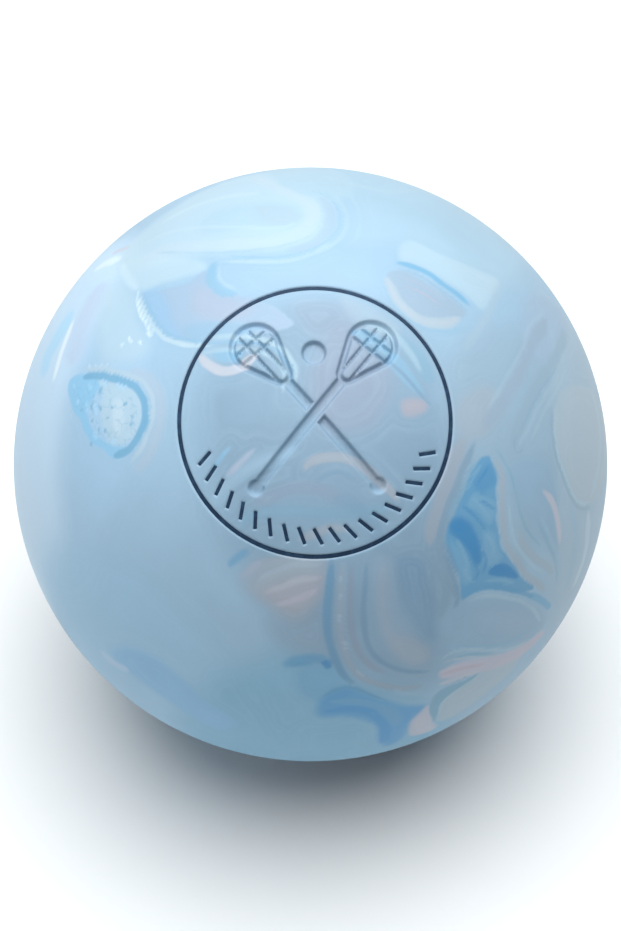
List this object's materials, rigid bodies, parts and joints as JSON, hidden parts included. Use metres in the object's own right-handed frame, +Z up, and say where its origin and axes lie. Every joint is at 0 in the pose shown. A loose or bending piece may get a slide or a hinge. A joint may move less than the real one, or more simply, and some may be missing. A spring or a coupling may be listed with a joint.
{
  "type": "lacrosse ball",
  "caption": "Solid rubber lacrosse ball, marbled pale blue, with a round engraved emblem whose ring and notches are filled with dark paint.",
  "frame": {"origin": "centre of the ball", "axes": "+Z up; the engraved emblem faces the front, -Y, and leans back so that its own axis points 58 degrees above the horizon"},
  "size_m": [0.0636, 0.0634, 0.0634],
  "materials": {
    "marbled_rubber": "matte",
    "dark_paint": "matte"
  },
  "bodies": {
    "root": {"ball_body": "marbled_rubber", "ring_paint": "dark_paint", "notch_paint": "dark_paint"}
  },
  "joints": []
}
